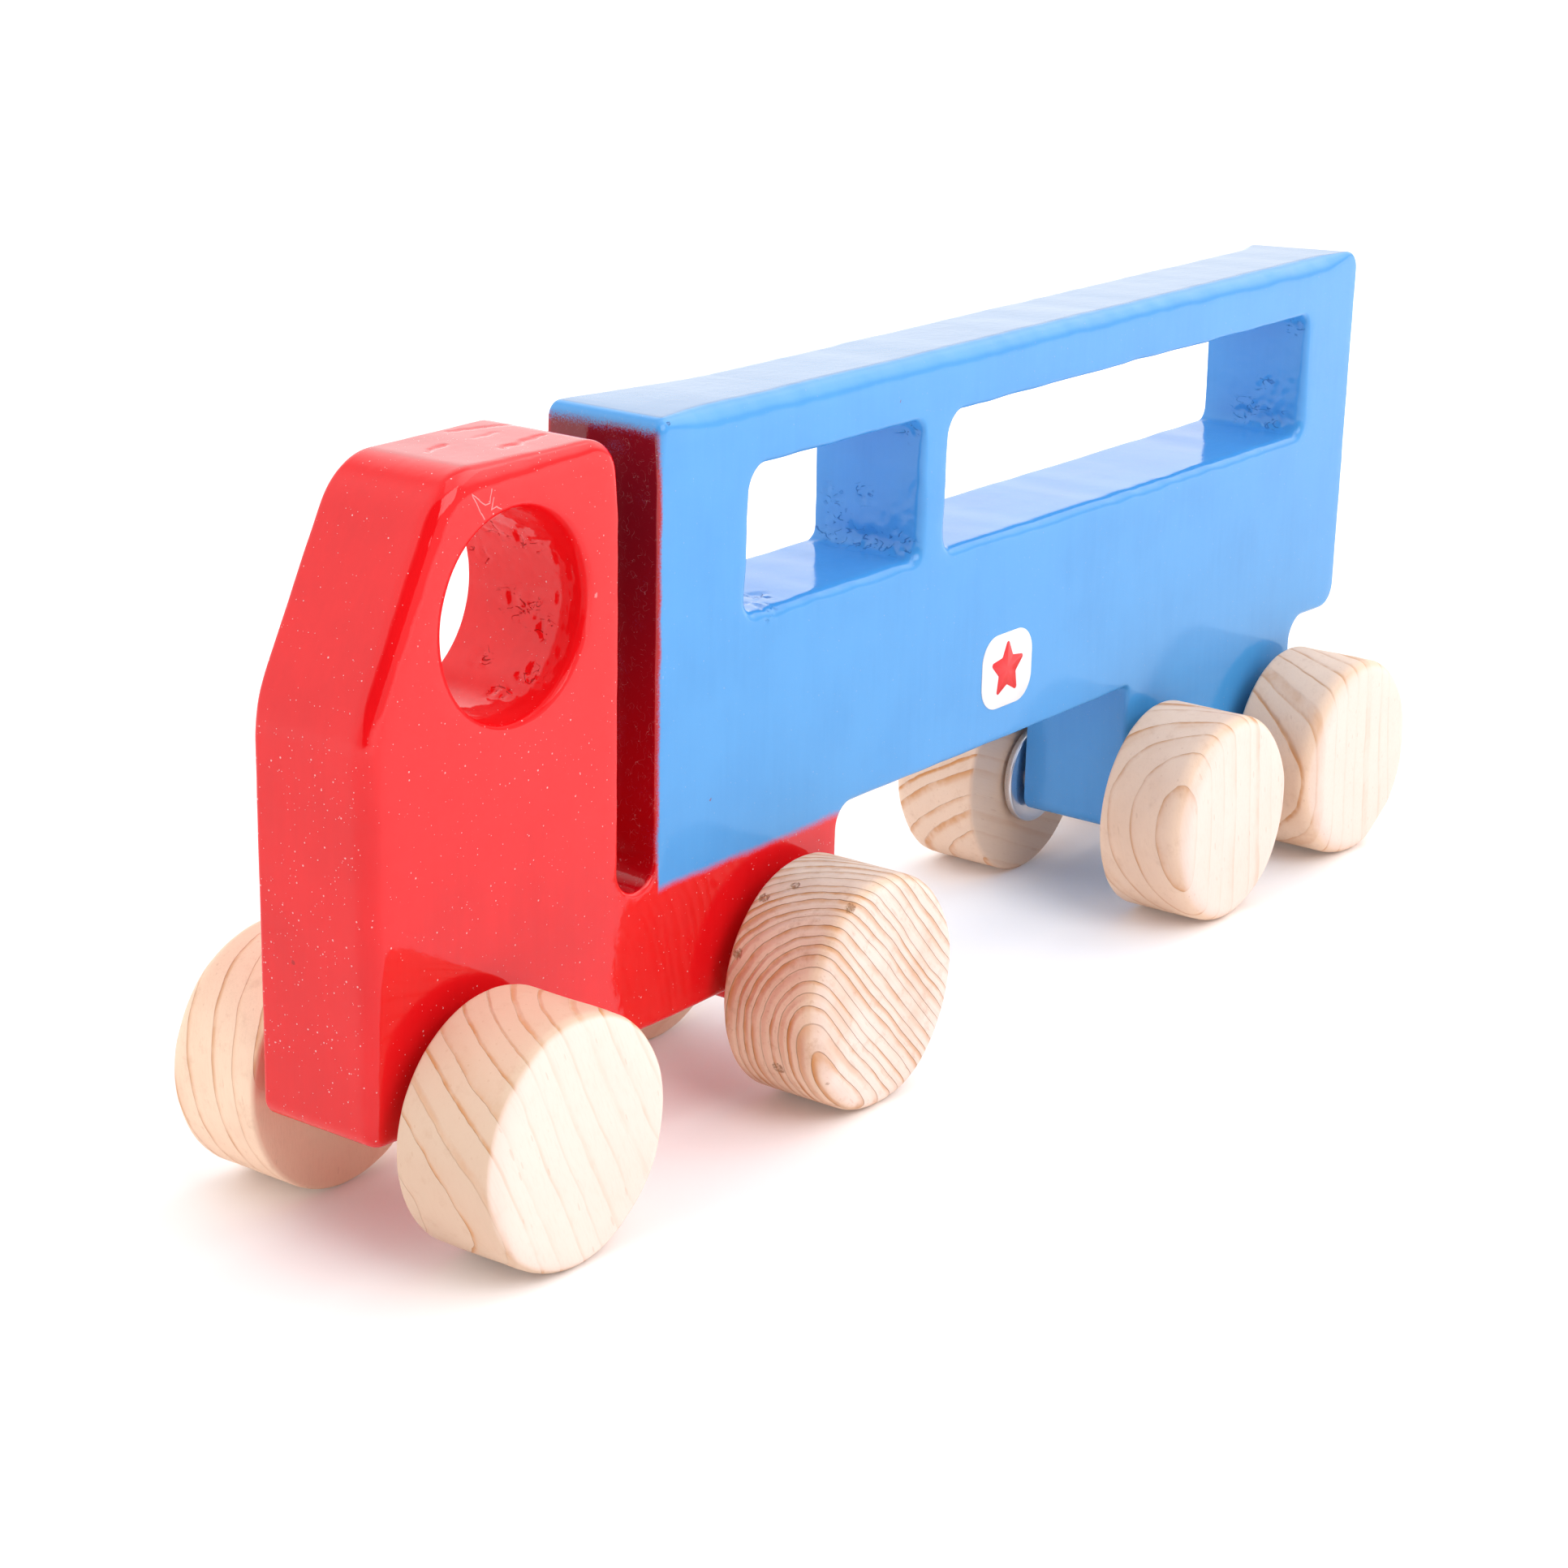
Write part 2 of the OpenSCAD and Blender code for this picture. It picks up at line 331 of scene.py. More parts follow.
def inside(points, loops):
    """Which of the (x, z) points lie in the wood, by counting the outline edges to one side."""
    starts = np.concatenate(loops)
    ends = np.concatenate([np.roll(loop, -1, 0) for loop in loops])
    result = np.zeros(len(points), bool)
    rise = ends[:, 1] - starts[:, 1]
    rise[rise == 0] = 1e-12
    for first in range(0, len(points), 1000):
        x, z = points[first:first + 1000, :1], points[first:first + 1000, 1:]
        straddles = (starts[:, 1] > z) != (ends[:, 1] > z)
        crossing = starts[:, 0] + (z - starts[:, 1]) / rise * (ends[:, 0] - starts[:, 0])
        result[first:first + 1000] = (straddles & (x < crossing)).sum(1) % 2 == 1
    return result


def face_points(loops):
    """A staggered grid of points in the wood, clear of the rims."""
    rims = kdtree.KDTree(sum(len(loop) for loop in loops))
    for i, (x, z) in enumerate(np.concatenate(loops)):
        rims.insert((x, z, 0), i)
    rims.balance()
    columns = np.arange(REAR_X, FRONT_X, FACE_STEP)
    lines = np.arange(BASE_Z, ROOF_Z, FACE_STEP * 0.87)
    grid = np.array([(x + (k % 2) * FACE_STEP / 2, z) for k, z in enumerate(lines) for x in columns])
    grid = grid[inside(grid, loops)]
    clear = [rims.find((x, z, 0))[2] > FACE_STEP / 2 for x, z in grid]
    return grid[np.array(clear)]


def side_face(loops):
    """One flat side: its points clear of the rims, and triangles over the rims and them."""
    fill = face_points(loops)
    flat = np.concatenate(loops + [fill])
    edges, rim_count = [], 0
    for n in map(len, loops):
        edges += [(rim_count + i, rim_count + (i + 1) % n) for i in range(n)]
        rim_count += n
    made = geometry.delaunay_2d_cdt([Vector(p) for p in flat.tolist()], edges, [], 0, 1e-7)
    triangles = np.array([[made[3][v][0] for v in face] for face in made[2]])
    in_wood = inside(flat[triangles].mean(1), loops)
    triangles = triangles[in_wood | (triangles >= rim_count).any(1)]
    return fill, triangles


# Marks in the cab roof: start and end (x from the cab's back, y), half width and depth
ROOF_MARKS = [
    ((23.2, 5.1), (9.9, 3.3), 0.55, 0.35),
    ((20.6, -4.3), (13.9, -4.2), 0.40, 0.20),
    ((19.5, -11.4), (6.6, -6.8), 0.45, 0.22),
    ((34.7, -2.7), (28.4, -4.7), 0.50, 0.30),
    ((3.6, -8.8), (1.5, -6.6), 0.40, 0.20),
]
ROOF_MARK_WANDER = 0.8

# Spots of torn end grain (x, y, z, radius): in the hand hole, from its middle, and in both
# windows, from the rear end of the sill
TORN_SPOTS = placed(HOLE_CENTRE, [
    (-19.6, -4.0, -3.6, 2.5), (-19.4, -1.0, -4.6, 2.5), (-19.6, 1.5, -3.4, 2.0),
    (-18.7, 4.3, -7.0, 2.8), (-14.4, -5.6, -13.9, 2.2), (-13.6, 6.2, -14.7, 2.5),
    (-19.7, -10.5, 4.0, 2.6), (-17.1, -4.8, 10.4, 2.6), (-18.0, 1.5, 8.7, 3.0),
    (-9.1, 3.1, -17.8, 2.0),
]) + placed((SHORT_WINDOW[0], 0, SILL_Z), [
    (0, -1.7, 11.5, 2.5), (0, -9.4, 10.3, 2.5), (0, -7.5, 5.1, 3.0), (0, -11.5, 1.0, 3.0),
    (0, -6.0, 1.5, 3.5), (0, 1.0, 1.5, 3.5), (0, 8.5, 1.8, 3.5), (0, 9.6, 26.9, 2.5),
    (46.5, 6.0, 0, 2.5), (53.0, 11.0, 0, 3.5),
]) + placed((LONG_WINDOW[0], 0, SILL_Z), [
    (0, -2.0, 4.0, 3.5), (0, 6.0, 3.0, 3.5), (0, 3.0, 11.0, 2.5), (0, 10.0, 27.0, 2.5),
])

# Unevenness of the wood, as waves (height, length, seed): sanding everywhere, saw marks on the
# rough walls, also with a stretch; and how deep and how fine the torn spots are
SANDING_WAVES = [(0.07, 26, 1), (0.025, 7, 2)]
SAW_WAVES = [(0.12, 5.0, 3, (1, 0.6, 1)), (0.03, 1.6, 4, (1, 1, 1))]
TORN_DEPTH = 0.40
TORN_LENGTH = 1.4


def press_marks(points, offsets):
    """Adds the cab roof's ragged dents to the offsets along the normals."""
    roof = np.nonzero(points[:, 2] > CAB_ROOF_Z - 1)[0]
    flat = points[roof, :2]
    wander = np.stack([noise_at(points[roof], 2.5, seed) for seed in (8, 9)], 1)
    flat = flat + ROOF_MARK_WANDER * wander - (CAB_BACK_X, 0)
    for start, end, half_width, depth in ROOF_MARKS:
        a, b = np.array(start), np.array(end)
        share = np.clip((flat - a) @ (b - a) / ((b - a) @ (b - a)), 0, 1)
        away = np.linalg.norm(flat - a - share[:, None] * (b - a), axis=1)
        offsets[roof] -= depth * np.exp(-(away / half_width) ** 2)


def torn_grain(points, rough):
    """How much the saw tore the end grain round each point, from 0 to 1."""
    torn = np.zeros(len(points))
    for x, y, z, radius in TORN_SPOTS:
        away = np.linalg.norm((points - (x, y, z)) * (1, 0.8, 1), axis=1)
        torn = np.maximum(torn, np.exp(-(away / radius) ** 2) * (away < 3 * radius))
    return np.maximum(torn, 0.2 * rough)


def roof_fall(points):
    """How far each point sinks because the trailer's roof falls towards its right side."""
    height = np.clip((points[:, 2] - HEAD_Z - 3) / (ROOF_Z - HEAD_Z - 3), 0, 1)
    across = (HALF_T - points[:, 1]) / (2 * HALF_T)
    return ROOF_FALL * height * across * behind_nose(points[:, 0])


def weather(points, normals, rough):
    """Moves the surface along its normals: sanding waves, saw marks and torn grain."""
    offsets = np.zeros(len(points))
    for height, length, seed in SANDING_WAVES:
        offsets += height * noise_at(points, length, seed)
    sawn = np.nonzero(rough > 0.01)[0]
    for height, length, seed, stretch in SAW_WAVES:
        offsets[sawn] += height * rough[sawn] * noise_at(points[sawn] * stretch, length, seed)
    torn = torn_grain(points, rough)
    at = np.nonzero(torn > 0.02)[0]
    broken = noise_at(points[at] * (1, 0.9, 0.8), TORN_LENGTH, 5)
    offsets[at] -= TORN_DEPTH * torn[at] * np.clip(3.0 * broken, 0, 1)
    press_marks(points, offsets)
    moved = points + normals * offsets[:, None]
    moved[:, 2] -= roof_fall(points)
    return moved, torn


def build_mesh(name, vertices, faces):
    """A mesh object from millimetre vertices, with faces turned outwards and shaded smooth."""
    mesh = bpy.data.meshes.new(name)
    mesh.from_pydata((np.asarray(vertices) * MM).tolist(), [], faces)
    work = bmesh.new()
    work.from_mesh(mesh)
    bmesh.ops.recalc_face_normals(work, faces=work.faces)
    work.to_mesh(mesh)
    work.free()
    mesh.polygons.foreach_set("use_smooth", np.ones(len(mesh.polygons), bool))
    piece = bpy.data.objects.new(name, mesh)
    bpy.context.scene.collection.objects.link(piece)
    return piece


def quads(numbers):
    """Faces between following rings of mesh indices."""
    following = np.roll(numbers, -1, 1)
    faces = np.stack([numbers[:-1], following[:-1], following[1:], numbers[1:]], -1)
    return faces.reshape(-1, 4).tolist()


def vertex_data(piece):
    """Positions in millimetres and normals of a piece's vertices."""
    points, normals = np.empty((2, 3 * len(piece.data.vertices)))
    piece.data.vertices.foreach_get("co", points)
    piece.data.vertex_normals.foreach_get("vector", normals)
    return points.reshape(-1, 3) / MM, normals.reshape(-1, 3)


def move_vertices(piece, points):
    """Writes millimetre positions back to a piece."""
    piece.data.vertices.foreach_set("co", (points * MM).ravel())
    piece.data.update()


def in_bores(points):
    """Which points belong to the axle bores, which stay true."""
    bores = np.zeros(len(points), bool)
    for centre in AXLES.values():
        bores |= np.hypot(points[:, 0] - centre.x, points[:, 2] - centre.z) < ROD_R + 1
    return bores


def slot_share(points):
    """1 on the walls of the slot, less on the nose's edge, 0 elsewhere."""
    x, y, z = points.T
    in_slot = (x > NOSE_X - 1.3) & (x < CAB_BACK_X + 0.6) & (z > SLOT_FLOOR_Z - 1)
    return np.where(np.abs(y) < HALF_T - 0.7, 1.0, 0.6 * (x < NOSE_X + 1)) * in_slot


def build_block():
    """The whole painted block: walls around every outline and the two side faces."""
    vertices, faces, rough = [], [], []
    left, right = ([], []), ([], [])
    count = 0
    for seed, outline in enumerate(block_outlines()):
        rows = wall_rows(outline, seed * 7)
        row_count, n = rows.shape[:2]
        numbers = count + np.arange(row_count * n).reshape(row_count, n)
        faces += quads(numbers)
        vertices.append(rows.reshape(-1, 3))
        depth = np.minimum(np.arange(row_count), np.arange(row_count)[::-1]) / ARRIS_ROWS
        end_grain = np.abs(outward(outline.points)[:, 0]) ** 2
        rough.append(np.outer(np.clip(depth, 0, 1) ** 2, outline.rough * end_grain).ravel())
        for (loops, rim_numbers), row in ((left, 0), (right, -1)):
            loops.append(rows[row][:, [0, 2]])
            rim_numbers.append(numbers[row])
        count += row_count * n
    for (loops, rim_numbers), y in ((left, HALF_T), (right, -HALF_T)):
        fill, triangles = side_face(loops)
        lookup = np.concatenate(rim_numbers + [count + np.arange(len(fill))])
        faces += lookup[triangles].tolist()
        vertices.append(with_y(fill, y))
        rough.append(np.zeros(len(fill)))
        count += len(fill)
    piece = build_mesh("block_painted", np.concatenate(vertices), faces)
    rough = np.concatenate(rough)
    points, normals = vertex_data(piece)
    moved, torn = weather(points, normals, rough)
    bores = in_bores(points)
    moved[bores] = points[bores]
    move_vertices(piece, moved)
    for name, values in (("torn", torn), ("slot", slot_share(points))):
        layer = piece.data.attributes.new(name, "FLOAT", "POINT")
        layer.data.foreach_set("value", values.astype(np.float32))
    return piece


# ---- turned pieces ----

# A wheel's blind hole and how much tighter than the rod it is, its profile's step, its rims
# before sanding, its waves (height, length), and how much is sanded off all over and at the rim;
# a washer's play on the rod and its rounded edge
WHEEL_HOLE_DEPTH = 14
WHEEL_GRIP = 0.05
WHEEL_STEP = 0.9
FIRST_RIM = 1.0
WHEEL_WAVES = [(0.16, 16), (0.05, 4)]
WHEEL_SANDED = 0.1
RIM_SANDED = 0.6
WASHER_PLAY = 0.2
WASHER_ROLL = 0.35


def lathe(name, profile, segments, centre, closed):
    """Turns a profile of (radius, y) round the Y axis through centre; closed joins its ends."""
    turn = np.arange(segments) * 2 * math.pi / segments
    vertices, rings = [], []
    for radius, y in profile:
        if radius < 1e-6:
            rings.append([len(vertices)])
            vertices.append((centre.x, y, centre.z))
            continue
        rings.append(list(range(len(vertices), len(vertices) + segments)))
        x, z = centre.x + radius * np.cos(turn), centre.z + radius * np.sin(turn)
        vertices += np.stack([x, np.full(segments, y), z], 1).tolist()
    faces = []
    if closed:
        rings.append(rings[0])
    for a, b in zip(rings, rings[1:]):
        for i in range(segments):
            j = (i + 1) % segments
            corners = [a[i % len(a)], a[j % len(a)], b[j % len(b)], b[i % len(b)]]
            faces.append(list(dict.fromkeys(corners)))
    return build_mesh(name, np.array(vertices), faces)


def profile_line(points, spacing):
    """The polyline through (radius, y) points with steps of at most the spacing."""
    line = [points[0]]
    for (r0, y0), (r1, y1) in zip(points, points[1:]):
        count = max(1, math.ceil(math.hypot(r1 - r0, y1 - y0) / spacing))
        line += [(r0 + (r1 - r0) * k / count, y0 + (y1 - y0) * k / count) for k in range(1, count + 1)]
    return line


def sand_rim(points, centre, radius, outer, least, most):
    """Rounds the outer rim, by the most on the wheel's front and the least on its rear."""
    flat = points[:, [0, 2]] - (centre.x, centre.z)
    reach = np.maximum(np.linalg.norm(flat, axis=1), 1e-6)
    edge = (most + least) / 2 + (most - least) / 2 * flat[:, 0] / reach
    over_r = np.clip(reach - (radius - edge), 0, None)
    over_y = np.clip(np.abs(points[:, 1]) - (outer - edge), 0, None)
    share = edge / np.maximum(np.hypot(over_r, over_y), edge)
    y = (np.abs(points[:, 1]) - over_y * (1 - share)) * np.sign(points[:, 1])
    flat *= (1 - over_r * (1 - share) / reach)[:, None]
    return np.stack([flat[:, 0] + centre.x, y, flat[:, 1] + centre.z], 1)


def build_wheel(node, seed, rims):
    """A hand-sanded pine wheel around the frame's wheel, its outer rim rounded as rims tells."""
    low, high = box_mm(node)
    centre = (low + high) / 2
    radius = (high.x - low.x) / 2
    side = 1 if centre.y > 0 else -1
    inner, outer = sorted((abs(low.y), abs(high.y)))
    quarter = np.linspace(0, math.pi / 2, 7)
    arc = [(FIRST_RIM * (1 - math.sin(t)), FIRST_RIM * (1 - math.cos(t))) for t in quarter]
    rims_cut = [(radius - a, outer - b) for a, b in arc] + [(radius - b, inner + a) for a, b in arc]
    hole_r, hole_end = ROD_R - WHEEL_GRIP, inner + WHEEL_HOLE_DEPTH
    hole = [(hole_r, inner), (hole_r, hole_end), (0, hole_end)]
    profile = profile_line([(0, outer)] + rims_cut + hole, WHEEL_STEP)
    profile = [(r, side * y) for r, y in profile]
    piece = lathe(node.replace("wheel", "pine_wheel"), profile, WHEEL_SEGMENTS, centre, False)
    points, _ = vertex_data(piece)
    move_vertices(piece, sand_rim(points, centre, radius, outer, *rims))
    points, normals = vertex_data(piece)
    reach = np.hypot(points[:, 0] - centre.x, points[:, 2] - centre.z)
    free = np.clip((reach - hole_r - 2) / 4, 0, 1)
    near_rim = np.exp(-((reach - radius + 2) / 2) ** 2) * (np.abs(points[:, 1]) > outer - 4)
    sanded = np.clip(noise_at(points, 13, seed + 2) + 0.2, 0, 1)
    wave = sum(height * noise_at(points, length, seed + k)
               for k, (height, length) in enumerate(WHEEL_WAVES))
    offsets = free * (wave - WHEEL_SANDED - RIM_SANDED * near_rim * sanded)
    move_vertices(piece, points + normals * offsets[:, None])
    return piece


def build_washer(node):
    """A punched washer with slightly rounded edges."""
    low, high = box_mm(node)
    centre = (low + high) / 2
    outer, bore, roll = (high.x - low.x) / 2, ROD_R + WASHER_PLAY, WASHER_ROLL
    y0, y1 = low.y, high.y
    points = [(bore, y0), (outer - roll, y0), (outer - 0.1, y0 + 0.12), (outer, y0 + roll),
              (outer, y1 - roll), (outer - 0.1, y1 - 0.12), (outer - roll, y1), (bore, y1)]
    return lathe(node.replace("washer", "zinc_washer"), profile_line(points, 2.5), 96, centre, True)


# ---- sticker ----

STICKER_CORNER_R = 6
STAR_R = 7.2
STAR_WAIST_R = 3.6
STAR_TIP_R = 0.6


def star_outline(centre):
    """A five-pointed star with its tip up, as (x, z) points."""
    points = []
    for k in range(10):
        reach = STAR_WAIST_R if k % 2 else STAR_R
        t = math.pi / 2 + math.pi * k / 5
        at = centre[0] + reach * math.cos(t), centre[1] + reach * math.sin(t)
        points.append((*at, STAR_TIP_R, 0))
    return rounded(points)[0]


def raised_plate(name, outline, y0, y1, soft):
    """A thin plate standing on the left side from y0 to y1, its front edge soft."""
    centre = outline.mean(0)
    outline, _ = turned(outline, np.zeros(len(outline)), False)
    normals = outward(outline)
    rings = [with_y(outline, y0), with_y(outline, y1 - soft), with_y(outline - normals * soft, y1)]
    n = len(outline)
    faces = quads(np.arange(3 * n).reshape(3, n))
    vertices = np.concatenate(rings + [[(centre[0], y0, centre[1])], [(centre[0], y1, centre[1])]])
    for i in range(n):
        j = (i + 1) % n
        faces += [[i, j, 3 * n], [2 * n + i, 2 * n + j, 3 * n + 1]]
    return build_mesh(name, vertices, faces)


# ---- materials ----

class Graph:
    """A node tree for a material or the world, built by short calls that give back sockets."""

    def __init__(self, owner):
        owner.use_nodes = True
        self.owner = owner
        self.tree = owner.node_tree
        self.tree.nodes.clear()
        coordinates = self.tree.nodes.new("ShaderNodeTexCoord")
        self.direction = coordinates.outputs["Generated"]
        self.place = self.vector("SCALE", coordinates.outputs["Object"], scale=1 / MM)
        self.x, self.y, self.z = self.node("ShaderNodeSeparateXYZ", {0: self.place}).outputs
        normal = coordinates.outputs["Normal"]
        _, self.facing_y, self.facing_z = self.node("ShaderNodeSeparateXYZ", {0: normal}).outputs

    def node(self, kind, inputs=None, **settings):
        """Any node, with inputs by name or number: sockets are linked, values are set."""
        made = self.tree.nodes.new(kind)
        for key, value in settings.items():
            setattr(made, key, value)
        for key, value in (inputs or {}).items():
            if isinstance(value, bpy.types.NodeSocket):
                self.tree.links.new(value, made.inputs[key])
            else:
                made.inputs[key].default_value = value
        return made

    def vector(self, operation, a, b=(0, 0, 0), scale=1.0):
        """Vector arithmetic."""
        inputs = {0: a, 1: b, 3: scale}
        made = self.node("ShaderNodeVectorMath", inputs, operation=operation)
        gives_number = operation in ("DOT_PRODUCT", "LENGTH", "DISTANCE")
        return made.outputs["Value" if gives_number else "Vector"]

    def math(self, operation, *values):
        """Arithmetic on up to three values."""
        return self.node("ShaderNodeMath", dict(enumerate(values)), operation=operation).outputs[0]

    def times(self, first, *others):
        """The product of all the values."""
        for other in others:
            first = self.math("MULTIPLY", first, other)
        return first

    def plus(self, a, b):
        """The sum of two values."""
        return self.math("ADD", a, b)

    def minus(self, a, b):
        """The first value less the second."""
        return self.math("SUBTRACT", a, b)

    def soft_step(self, value, start, end):
        """0 before start, 1 after end, smooth between; start may be above end."""
        inputs = {"Value": value, "From Min": start, "From Max": end}
        return self.node("ShaderNodeMapRange", inputs, interpolation_type="SMOOTHSTEP").outputs[0]

    def noise(self, scale, detail=2.0, roughness=0.5, place=None, stretch=None, distortion=0.0):
        """Noise with features of about 1 / scale millimetres; stretch multiplies the place."""
        vector = place or self.place
        if stretch:
            vector = self.vector("MULTIPLY", vector, stretch)
        inputs = {"Vector": vector, "Scale": scale, "Detail": detail,
                  "Roughness": roughness, "Distortion": distortion}
        return self.node("ShaderNodeTexNoise", inputs).outputs[0]

    def specks(self, per_mm, size, place=None):
        """1 inside small scattered dots, 0 elsewhere."""
        cells = self.node("ShaderNodeTexVoronoi", {"Vector": place or self.place, "Scale": per_mm})
        share = self.node("ShaderNodeSeparateColor", {0: cells.outputs["Color"]}).outputs[0]
        reach = self.times(self.math("POWER", share, 3.0), size * per_mm)
        return self.math("LESS_THAN", cells.outputs["Distance"], reach)

    def along_x(self, value):
        """A place that moves along one axis with the value."""
        return self.node("ShaderNodeCombineXYZ", {0: value}).outputs[0]

    def mix(self, factor, a, b):
        """Colour a turning to colour b as factor goes from 0 to 1."""
        return self.node("ShaderNodeMix", {0: factor, 6: a, 7: b}, data_type="RGBA").outputs[2]

    def stained(self, base, stains):
        """The base colour under stains (mask, strength, colour), laid on in their order."""
        for mask, strength, shade in stains:
            base = self.mix(self.times(mask, strength), base, shade)
        return base

    def bump(self, height, distance):
        """Surface normal from a height, which the distance gives in millimetres."""
        return self.node("ShaderNodeBump", {"Height": height, "Distance": distance * MM}).outputs[0]

    def wandering(self, scale, reach):
        """The place, moved by smooth noise by up to half the reach each way."""
        noise_node = self.node("ShaderNodeTexNoise", {"Vector": self.place, "Scale": scale})
        shift = self.vector("SCALE", noise_node.outputs["Color"], scale=reach)
        centred = self.vector("ADD", shift, (-reach / 2, -reach / 2, -reach / 2))
        return self.vector("ADD", self.place, centred)

    def chips(self, places):
        """1 inside any of the small round marks (x, y, z, radius), with ragged borders."""
        ragged = self.wandering(1.4, 0.9)
        found = 0.0
        for x, y, z, radius in places:
            away = self.vector("DISTANCE", ragged, (x, y, z))
            found = self.math("MAXIMUM", found, self.soft_step(away, radius, 0.7 * radius))
        return found

    def scratches(self, origin, strokes, half_width):
        """1 on thin strokes over the left face, each a list of (x, z) points from the origin."""
        flat = self.vector("MULTIPLY", self.wandering(0.5, 0.6), (1, 0, 1))
        found = 0.0
        for stroke in strokes:
            for (x0, z0), (x1, z1) in zip(stroke, stroke[1:]):
                step = Vector((x1 - x0, 0, z1 - z0))
                local = self.vector("SUBTRACT", flat, origin + Vector((x0, 0, z0)))
                share = self.vector("DOT_PRODUCT", local, step / step.length_squared)
                share = self.node("ShaderNodeClamp", {"Value": share}).outputs[0]
                nearest = self.vector("SCALE", tuple(step), scale=share)
                away = self.vector("DISTANCE", local, nearest)
                stroke_here = self.soft_step(away, half_width, 0.4 * half_width)
                found = self.math("MAXIMUM", found, stroke_here)
        return found

    def attribute(self, name):
        """A value stored on the mesh's vertices."""
        return self.node("ShaderNodeAttribute", attribute_name=name).outputs["Fac"]

    def surface(self, inputs):
        """Ends the graph in a Principled surface and gives the material."""
        shader = self.node("ShaderNodeBsdfPrincipled", inputs)
        self.node("ShaderNodeOutputMaterial", {"Surface": shader.outputs[0]})
        return self.owner


def colour(r, g, b, share=1.0):
    """A colour for a node input, or a share of its brightness."""
    return (share * r, share * g, share * b, 1.0)


RED = colour(0.78, 0.007, 0.010)
RED_DEEP = colour(0.70, 0.005, 0.008)
# The slot's red: its paint is thinner and darker, and painted shade darkens it further, most towards its top
SLOT_TOP_PAINT_AND_SHADE = colour(0.17, 0.006, 0.016)
SLOT_FOOT_PAINT_AND_SHADE = colour(0.50, 0.002, 0.008)
BLUE = colour(0.074, 0.330, 0.725)
BLUE_DEEP = colour(0.063, 0.302, 0.685)
DUST = colour(0.95, 0.80, 0.82)
BLACK = colour(0, 0, 0)
PIT_RED = colour(0.20, 0.0, 0.0)
PIT_BLUE = colour(0.03, 0.12, 0.36)

# Painted shade on the roofs: how much darker the paint is made where it faces up, and how much less so where it is
# red
ROOF_PAINTED_SHADE = 0.45
RED_ROOF_SHADE_LESS = 0.13

# Hair-thin strokes scratched over the hand hole, as (x, z) points from its middle
SCRIBBLE = [
    [(10.1, 24.8), (8.6, 23.6), (6.7, 22.2), (5.4, 22.3), (4.9, 24.8)],
    [(4.3, 23.2), (5.0, 21.0), (3.7, 21.4), (2.4, 20.7)],
    [(10.1, 24.6), (6.9, 19.6)],
]
# Small marks (x, y, z, radius): bruises in the paint, chips through it, and a pale nick
BRUISES = [(FRONT_X, -5.3, 56.9, 0.5), (82.6, HALF_T, 67.4, 0.35), (20.3, HALF_T, 138.2, 0.3)]
CHIPS = [(96.4, 13.6, 145.6, 0.45), (88.1, 13.4, 146.0, 0.30), (86.8, 13.6, 145.8, 0.25)]
NICKS = [(118, HALF_T, 116.5, 0.5)]


def red_area(g):
    """Where the block is red: cab, slot and chassis, with soft sprayed borders."""
    grainy = g.minus(g.noise(3.2, 4.0, 0.8), 0.5)
    slow = g.minus(g.noise(0.12, 1.0), 0.5)
    ragged = g.plus(g.times(grainy, 1.6), slow)
    along = g.plus(g.x, ragged)
    up = g.plus(g.z, g.times(ragged, 1.6))
    cab = g.soft_step(along, NOSE_X - 1.1, NOSE_X - 0.2)
    on_nose = g.soft_step(g.x, NOSE_X + 5, NOSE_X + 4)
    speckled = g.plus(up, g.times(grainy, 5))
    oversprayed = g.times(g.soft_step(speckled, ROOF_Z - 3.6, ROOF_Z - 1.0), on_nose)
    cab = g.times(cab, g.minus(1.0, oversprayed))
    low = g.soft_step(up, PAINT_LINE_Z + 1.2, PAINT_LINE_Z - 1.2)
    chassis = g.times(low, g.soft_step(g.x, CHASSIS_X - 12, CHASSIS_X - 6))
    return g.math("MAXIMUM", cab, chassis)


def hairs(g, scale, seed):
    """1 on sparse thin curved lines, as left by brush hairs and scratches."""
    shifted = g.vector("ADD", g.place, (seed, seed, seed))
    wave = g.noise(scale, 1.0, place=shifted)
    line = g.soft_step(g.math("ABSOLUTE", g.minus(wave, 0.5)), 0.006, 0.002)
    return g.times(line, g.soft_step(g.noise(0.8 * scale, 1.0), 0.52, 0.60))


def two_tone(g, red):
    """Red and blue paint, each uneven in slow patches and faint streaks, with painted shade on the roofs and in
    the slot.
    """
    patches = g.noise(0.05, 3.0)
    streaks = g.noise(0.5, 3.0, 0.6, stretch=(1, 1, 0.08))
    uneven = g.plus(g.times(patches, 0.7), g.times(streaks, 0.3))
    reds = g.mix(g.soft_step(uneven, 0.30, 0.75), RED, RED_DEEP)
    blues = g.mix(g.soft_step(uneven, 0.35, 0.75), BLUE, BLUE_DEEP)
    # In the slot the red is darker: thinner paint and painted shade
    slot_paint_and_shade = g.mix(g.soft_step(g.z, SLOT_FLOOR_Z + 6, ROOF_Z - 12), SLOT_FOOT_PAINT_AND_SHADE, SLOT_TOP_PAINT_AND_SHADE)
    slot_share = g.times(g.attribute("slot"), 0.9)
    paint = g.mix(red, blues, g.mix(slot_share, reds, slot_paint_and_shade))
    # Painted shade: faces that look up on the roofs are darkened towards black, as they take less light than the
    # sides
    looks_up = g.soft_step(g.facing_z, 0.975, 1.0)
    on_roof = g.times(looks_up, g.soft_step(g.z, HEAD_Z + 4, HEAD_Z + 8))
    roof_shade = g.minus(ROOF_PAINTED_SHADE, g.times(red, RED_ROOF_SHADE_LESS))
    return g.mix(g.times(on_roof, roof_shade), paint, BLACK)


